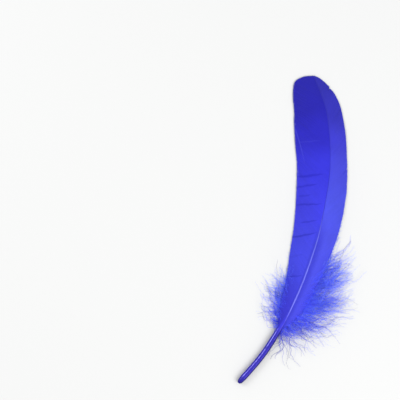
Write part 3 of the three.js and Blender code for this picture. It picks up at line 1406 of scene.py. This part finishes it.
@dataclass
class Down:
    """The down on one side of the base: locks on arcs that pass under the vane's edge."""

    web: Web
    count: int
    first: float
    last: float
    turned_out: float
    turned_forward: float
    length: float
    seed: int
    steps: int = 16
    length_at_base: float = 0.45
    growth_wave: float = 0.75
    length_scatter: float = 0.3
    turn_scatter: float = 0.25
    curl: tuple[float, float] = (0.25, 0.95)
    root_depth: float = 0.0003
    end_height: tuple[float, float] = (0.0006, 0.0026)
    sparse_share: float = 0.60
    sparse_fullness: float = 0.20
    lowest: float = 0.0001
    side_number: float = 50.0
    other_number: float = 100.0
    phases: float = 9.0
    sway_waves: float = 2.2
    tuft_root_width: float = 0.0004
    tuft_tip_width: float = 0.00003
    tuft_taper: float = 0.8
    tuft_ribbing: Ribbing = Ribbing(ridge=0.35, keel=0.2, lift_scatter=0.0002)

    def guides(self, strew: Strew) -> tuple[Numbers, Values]:
        """Lays out strands along the locks.

        Args:
            strew: How the strands are strewn about the locks.

        Returns:
            The points of every strand from root to tip, and the numbers that they carry.
        """
        line, side = self.web.line, self.web.side.value
        number = np.repeat(np.arange(self.count, dtype=float), strew.copies)[:, None]
        along = number / (self.count - 1)
        lock = number + 1 + self.side_number * side
        lock_chance = scatter(lock)
        lock_other = scatter(lock + self.other_number)
        own = np.random.default_rng(self.seed + strew.copies)
        swelling = np.sin(math.pi * self.growth_wave * np.sqrt(along))
        length = self.length * mix(self.length_at_base, 1.0, swelling)
        length = length * (1 - self.length_scatter * lock_chance)
        length = length * own.uniform(*strew.lengths, number.shape)
        gap = (self.last - self.first) / self.count
        station = mix(self.first, self.last, along)
        beside = gap * own.uniform(-0.5, 0.5, number.shape)
        station = station + beside * min(strew.copies - 1, 1)
        angle = mix(self.turned_out, self.turned_forward, along)
        angle = angle + self.turn_scatter * (lock_chance - 0.5)
        angle = angle + strew.fan * own.standard_normal(number.shape)
        curl = -mix(*self.curl, lock_other)
        reach = np.linspace(0, 1, self.steps)[None, :]
        turned = angle + curl * reach
        forward = length / curl * (np.sin(turned) - np.sin(angle))
        outward = length / curl * (np.cos(angle) - np.cos(turned))
        phase = own.uniform(0, self.phases, number.shape)
        wave = np.sin(2 * math.pi * (self.sway_waves * reach + phase))
        swayed = strew.sway * reach * wave
        root = line.axis_height(station) - self.root_depth
        height = mix(root, mix(*self.end_height, lock_other), reach * (2 - reach))
        height = height + strew.lift * np.sin(math.pi * reach)
        points = line.place(
            station,
            side * (outward + swayed * np.cos(turned)),
            height,
            forward - swayed * np.sin(turned),
        )
        roof = self.web.ceiling(points).clip(self.lowest)
        points[..., 2] = np.minimum(points[..., 2], roof)
        full = mix(self.sparse_fullness, 1.0, eased(along, 0, self.sparse_share))
        tuft = mix(self.tuft_root_width, self.tuft_tip_width, reach**self.tuft_taper)
        values = {
            "reach": reach,
            "fullness": full,
            "roof": roof,
            "half_width": full * tuft,
        }
        return points, values

    def build(
        self, tree: PlumeTree, fluff: Fluff, strew: Strew, material: bpy.types.Material, kind: str
    ) -> bpy.types.Object:
        """Grows a layer of plumes.

        Args:
            tree: The tree that grows plumes.
            fluff: How thick and wild they are.
            strew: How they are strewn about the locks.
            material: The finish of the down.
            kind: The last word of the piece's name.

        Returns:
            The finished piece.
        """
        name = self.web.named(kind)
        piece = tree.grow(name, self.guides(strew), fluff, self.seed, material)
        return fastened(piece)

    def build_tufts(
        self, tree: BarbTree, strew: Strew, material: bpy.types.Material
    ) -> bpy.types.Object:
        """Grows the dense matted barbs next to the vane.

        Args:
            tree: The tree that grows barbs.
            strew: How they are strewn about the locks.
            material: The finish of the down.

        Returns:
            The finished piece.
        """
        name = self.web.named("tufts")
        piece = tree.grow(name, self.guides(strew), self.tuft_ribbing, self.seed, material)
        return fastened(piece)


@dataclass
class Fringe:
    """Loose ends of barbs that stand out past the edge of a vane near its base."""

    web: Web
    count: int
    first: float
    last: float
    longest: float
    seed: int
    fluff: Fluff
    steps: int = 12
    inside: tuple[float, float] = (0.10, 0.45)
    shares: tuple[float, float] = (0.35, 1.0)
    dwindling: float = 0.7
    bend: tuple[float, float] = (-0.2, 0.7)
    bend_outward: float = 0.4
    lift: tuple[float, float] = (0.0, 0.0012)
    depth: float = 0.0004
    lowest: float = 0.0001

    def guides(self) -> tuple[Numbers, Values]:
        """Lays out the loose ends.

        Returns:
            The points of every end from root to tip, and the numbers that they carry.
        """
        chance = np.random.default_rng(self.seed)
        shape = (self.count, 1)
        share = np.sort(chance.uniform(0, 1, shape), axis=0)
        root = mix(self.first, self.last, share)
        edge, width = self.web.rows(root)
        out = self.longest * (1 - share) ** self.dwindling
        out = out * chance.uniform(*self.shares, shape)
        ahead, beside = (edge - root) * self.web.sweep_power, width
        run = np.hypot(ahead, beside)
        reach = np.linspace(0, 1, self.steps)[None, :]
        gone = mix(-run * chance.uniform(*self.inside, shape), out, reach)
        station, offset, height = self.web.lay(root, 1 + np.minimum(gone, 0) / run)
        past = np.maximum(gone, 0)
        bent = chance.uniform(*self.bend, shape) * past**2 / out
        station = station + past * ahead / run - bent
        offset = offset + past * beside / run + bent * self.bend_outward
        height = height - self.depth + chance.uniform(*self.lift, shape) * (past / out) ** 2
        height = height.clip(self.lowest)
        points = self.web.line.place(station, self.web.side.value * offset, height)
        return points, {"reach": reach, "fullness": 1.0, "roof": height}

    def build(self, tree: PlumeTree, material: bpy.types.Material) -> bpy.types.Object:
        """Grows the fringe.

        Args:
            tree: The tree that grows plumes.
            material: The finish of the down.

        Returns:
            The finished piece.
        """
        name = self.web.named("fringe")
        piece = tree.grow(name, self.guides(), self.fluff, self.seed, material)
        return fastened(piece)


# --------------------------------------------------------------------------- studio


@dataclass(frozen=True)
class Viewpoint:
    """A camera straight above the feather, turned so that the feather leans to the right."""

    frame_px: float = 400.0
    metres_per_px: float = 0.00054
    quill_end_px: tuple[float, float] = (238.5, 383.5)
    turn: float = math.radians(13.5)
    distance: float = 0.60
    sensor_mm: float = 36.0
    raised: float = 0.003
    clip: tuple[float, float] = (0.01, 20.0)

    @property
    def right(self) -> Vector:
        """Returns the camera's direction to the right, in the row frame."""
        return Vector((math.cos(self.turn), math.sin(self.turn), 0.0))

    @property
    def up(self) -> Vector:
        """Returns the camera's upward direction, in the row frame."""
        return Vector((-math.sin(self.turn), math.cos(self.turn), 0.0))

    def build(self, line: ShaftLine) -> bpy.types.Object:
        """Makes the scene's camera.

        Args:
            line: The shaft, whose lower end gives the camera its place.

        Returns:
            The camera.
        """
        middle = self.frame_px / 2
        right_px = middle - self.quill_end_px[0]
        up_px = self.quill_end_px[1] - middle
        quill_end = Vector((-line.box_middle[0], -line.box_middle[1], 0.0))
        aim = quill_end + (self.right * right_px + self.up * up_px) * self.metres_per_px
        data = bpy.data.cameras.new("camera")
        data.sensor_width = self.sensor_mm
        data.lens = self.sensor_mm * self.distance / (self.frame_px * self.metres_per_px)
        data.clip_start, data.clip_end = self.clip
        camera = bpy.data.objects.new("camera", data)
        camera.location = aim + Vector((0.0, 0.0, self.distance + self.raised))
        camera.rotation_euler = (0.0, 0.0, self.turn)
        bpy.context.scene.collection.objects.link(camera)
        bpy.context.scene.camera = camera
        return camera


@dataclass(frozen=True)
class Softbox:
    """One large soft light, placed by the camera's directions from the feather's middle."""

    name: str
    right: float
    up: float
    height: float
    size: float
    watts: float
    colour: Colour = (1.0, 1.0, 1.0)

    def build(self, view: Viewpoint) -> bpy.types.Object:
        """Hangs the light so that it faces the feather.

        Args:
            view: The camera's place, which gives the directions.

        Returns:
            The light.
        """
        data = bpy.data.lights.new(self.name, "AREA")
        data.shape = "SQUARE"
        data.size = self.size
        data.energy = self.watts
        data.color = self.colour
        lamp = bpy.data.objects.new(self.name, data)
        lamp.location = view.right * self.right + view.up * self.up
        lamp.location.z = self.height
        lamp.rotation_euler = (-lamp.location).to_track_quat("-Z", "Y").to_euler()
        bpy.context.scene.collection.objects.link(lamp)
        return lamp


@dataclass
class Studio:
    """White paper, two softboxes and an even pale surround."""

    boxes: tuple[Softbox, ...] = (
        Softbox("key_softbox", right=0.50, up=-0.35, height=0.75, size=0.60, watts=6.0),
        Softbox("fill_softbox", right=-0.60, up=0.30, height=0.50, size=0.30, watts=2.15),
    )
    surround: Colour = (1.0, 1.0, 1.0)
    surround_strength: float = 0.925
    floor_size: float = 6.0

    def build(self, view: Viewpoint) -> None:
        """Sets up the floor, the lights and the surround.

        Args:
            view: The camera's place, which the lights are placed by.
        """
        bpy.context.scene.view_settings.view_transform = "Standard"
        for box in self.boxes:
            box.build(view)
        world = bpy.data.worlds.new("surround")
        world.use_nodes = True
        sky = world.node_tree.nodes["Background"]
        sky.inputs["Color"].default_value = (*self.surround, 1.0)
        sky.inputs["Strength"].default_value = self.surround_strength
        bpy.context.scene.world = world
        half = self.floor_size / 2
        corners = [(-half, -half, 0), (half, -half, 0), (half, half, 0), (-half, half, 0)]
        mesh = bpy.data.meshes.new("paper_floor")
        mesh.from_pydata(corners, [], [(0, 1, 2, 3)])
        mesh.materials.append(PaperFinish().material())
        floor = bpy.data.objects.new("paper_floor", mesh)
        bpy.context.scene.collection.objects.link(floor)


# --------------------------------------------------------------------------- the feather


# Chosen barbs of each vane: station at the root, station at the edge, and width there.
INNER_BARBS = (
    (0.0365, 0.0370, 0.0008),
    (0.0430, 0.0475, 0.0052),
    (0.0540, 0.0620, 0.0083),
    (0.0720, 0.0830, 0.0121),
    (0.0960, 0.1095, 0.0154),
    (0.1200, 0.1370, 0.0183),
    (0.1400, 0.1580, 0.0180),
    (0.1560, 0.1726, 0.0150),
    (0.1680, 0.1800, 0.0110),
    (0.1755, 0.1814, 0.0056),
    (0.1794, 0.1802, 0.0005),
)
OUTER_BARBS = (
    (0.0365, 0.0368, 0.0010),
    (0.0430, 0.0485, 0.0063),
    (0.0540, 0.0615, 0.0079),
    (0.0720, 0.0825, 0.0100),
    (0.0960, 0.1085, 0.0114),
    (0.1200, 0.1310, 0.0098),
    (0.1400, 0.1495, 0.0089),
    (0.1560, 0.1630, 0.0079),
    (0.1680, 0.1720, 0.0054),
    (0.1755, 0.1776, 0.0027),
    (0.1794, 0.1800, 0.0004),
)

# How much of the rachis each vane leaves bare, in its half widths, at stations along the shaft.
INNER_BARE = (
    (0.0365, 0.20),
    (0.040, -0.30),
    (0.045, -0.10),
    (0.055, 0.25),
    (0.095, 0.30),
    (0.120, 0.12),
    (0.180, 0.02),
)
OUTER_BARE = (
    (0.0365, 0.85),
    (0.042, 0.70),
    (0.050, 0.45),
    (0.095, 0.40),
    (0.110, 0.20),
    (0.180, 0.05),
)

# Bends of the inner vane, which fold its barbs and carry painted shade: station and offset at its
# edge, the same nearer the shaft, then the width and the depth of the mark.
CREASES = (
    Crease(0.1218, -0.0164, 0.1252, -0.0026, 0.0022, 0.42),
    Crease(0.1157, -0.0156, 0.1193, -0.0054, 0.0019, 0.40),
    Crease(0.1107, -0.0141, 0.1129, -0.0074, 0.0015, 0.30),
    Crease(0.1056, -0.0155, 0.1090, -0.0007, 0.0015, 0.42),
    Crease(0.0967, -0.0100, 0.0998, -0.0019, 0.0014, 0.36),
    Crease(0.0867, -0.0128, 0.0932, -0.0010, 0.0017, 0.50),
    Crease(0.0755, -0.0110, 0.0800, -0.0040, 0.0020, 0.14),
    Crease(0.0645, -0.0086, 0.0687, -0.0012, 0.0017, 0.36),
)
# Painted highlights standing for folds of the inner vane, and painted shade on the shaft's side of
# the two along its edge.
FOLD_HIGHLIGHTS = (
    Crease(0.1436, -0.0160, 0.1436, -0.0045, 0.0009, 0.20),
    Crease(0.1570, -0.0190, 0.1289, -0.0130, 0.0019, 0.80),
    Crease(0.1349, -0.0182, 0.1190, -0.0153, 0.0022, 0.80),
)
FOLD_SHADES = (
    Crease(0.1570, -0.0183, 0.1289, -0.0123, 0.0019, 0.20),
    Crease(0.1349, -0.0174, 0.1190, -0.0146, 0.0022, 0.15),
)

# Colours of the vanes along the shaft: the dye, darkened towards the tip partly as painted shade,
# and the inner vane painted darker than the outer towards the tip, as shade.
INNER_DYE_AND_SHADE = VaneFinish(
    name="inner_vane_dye",
    stops=(
        (0.26, (0.0323, 0.0302, 0.563)),
        (0.42, (0.0460, 0.0538, 0.705)),
        (0.60, (0.0355, 0.0362, 0.637)),
        (0.72, (0.0254, 0.0245, 0.560)),
        (0.82, (0.0155, 0.0125, 0.419)),
        (0.92, (0.0112, 0.0084, 0.324)),
        (1.0, (0.0107, 0.0087, 0.302)),
    ),
    dark_marks=CREASES + FOLD_SHADES,
    light_marks=FOLD_HIGHLIGHTS,
    root_shade=0.55,
    rim_light=0.11,
)
OUTER_DYE_AND_SHADE = VaneFinish(
    name="outer_vane_dye",
    stops=(
        (0.20, (0.0508, 0.0549, 0.653)),
        (0.48, (0.0536, 0.0632, 0.659)),
        (0.60, (0.0494, 0.0619, 0.632)),
        (0.72, (0.0422, 0.0468, 0.565)),
        (0.80, (0.0308, 0.0296, 0.475)),
        (0.88, (0.0199, 0.0183, 0.353)),
        (1.0, (0.0155, 0.0140, 0.302)),
    ),
    root_shade=1.0,
    root_shade_reach=0.42,
    rim_light=0.12,
)

# The stray hairs and the hairs at the base of the down are grey towards their tips.
STRAY_STOPS = (
    (0.0, (0.075, 0.090, 1.0)),
    (0.65, (0.060, 0.070, 0.85)),
    (1.0, (0.060, 0.060, 0.18)),
)
BASE_HAIR_STOPS = (
    (0.0, (0.080, 0.090, 0.90)),
    (0.40, (0.080, 0.085, 0.58)),
    (1.0, (0.080, 0.080, 0.20)),
)


SPLITS = (
    Split(root=0.1665, opening=0.0012, width=0.0015),
    Split(root=0.1180, opening=0.0006, width=0.0012),
)

# Plumes of the down, from its thick body to single hairs.
THICK = Fluff(
    strands=10,
    spread=0.0036,
    wave=0.007,
    wave_pace=240.0,
    curl=0.006,
    thinning=1.0,
    stem_radius=0.000045,
    hair_gap=0.0002,
    hair_length=0.0016,
)
FINE = Fluff(
    strands=4,
    spread=0.0035,
    wave=0.010,
    wave_pace=170.0,
    curl=0.009,
    thinning=1.0,
    stem_radius=0.000045,
    hair_gap=0.00017,
    hair_length=0.0015,
)
SHORT = Fluff(spread=0.001, wave=0.003, hair_gap=0.0002, hair_length=0.0010)
WILD = Fluff(
    strands=2,
    spread=0.003,
    wave=0.008,
    wave_pace=150.0,
    curl=0.010,
    stem_radius=0.00013,
    hair_gap=0.0007,
    hair_length=0.0004,
)
LONE = Fluff(
    spread=0.002,
    wave=0.007,
    curl=0.009,
    stem_radius=0.00015,
    hair_gap=0.0010,
    hair_length=0.0003,
)

# How the plumes of each kind are strewn.
MATTED = Strew(copies=8, fan=0.12, lengths=(0.30, 0.56), sway=0.0006, lift=0.0006)
LOOSE = Strew(lengths=(0.84, 0.96))
AIRY = Strew(copies=2, fan=0.16, lengths=(0.66, 0.90), sway=0.0015)
STRAYING = Strew(copies=2, fan=0.25, lengths=(0.60, 0.80), sway=0.0020)
SPARSE = Strew(copies=3, fan=0.20, sway=0.0015)


def main() -> None:
    """Builds the camera, the studio and every piece of the feather."""
    line = ShaftLine()
    view = Viewpoint()
    view.build(line)
    Studio().build(view)
    Shaft(line).build(HornFinish().material())
    inner = Web(line, Side.INNER, INNER_BARBS, INNER_BARE)
    outer = Web(line, Side.OUTER, OUTER_BARBS, OUTER_BARE)
    barbs = BarbTree()
    Vane(inner, creases=CREASES, seed=3).build(barbs, INNER_DYE_AND_SHADE.material())
    Vane(outer, splits=SPLITS, seed=8).build(barbs, OUTER_DYE_AND_SHADE.material())
    plumes = PlumeTree()
    soft = DownFinish().material()
    wispy = DownFinish("down_wisps", STRAY_STOPS).material()
    grey = DownFinish("base_hairs", BASE_HAIR_STOPS).material()
    base = Down(
        outer,
        count=8,
        first=0.0362,
        last=0.042,
        turned_out=2.30,
        turned_forward=1.45,
        length=0.025,
        seed=77,
        length_at_base=0.6,
        curl=(-1.2, 1.0),
    )
    base.build(plumes, LONE, SPARSE, grey, "base_wisps")
    outer_down = Down(
        outer,
        count=32,
        first=0.0366,
        last=0.068,
        turned_out=1.85,
        turned_forward=1.00,
        length=0.038,
        seed=21,
    )
    inner_down = Down(
        inner,
        count=22,
        first=0.0366,
        last=0.060,
        turned_out=1.70,
        turned_forward=0.80,
        length=0.021,
        seed=34,
    )
    for down in (outer_down, inner_down):
        down.build_tufts(barbs, MATTED, soft)
        down.build(plumes, THICK, LOOSE, soft, "down")
        down.build(plumes, FINE, AIRY, soft, "fine_down")
        down.build(plumes, WILD, STRAYING, wispy, "stray_hairs")
    fringes = (
        Fringe(outer, count=240, first=0.038, last=0.095, longest=0.006, seed=55, fluff=SHORT),
        Fringe(inner, count=120, first=0.038, last=0.075, longest=0.003, seed=89, fluff=SHORT),
    )
    for fringe in fringes:
        fringe.build(plumes, soft)


if __name__ == "__main__":
    logging.basicConfig(level=logging.INFO, format="%(name)s: %(message)s")
    main()
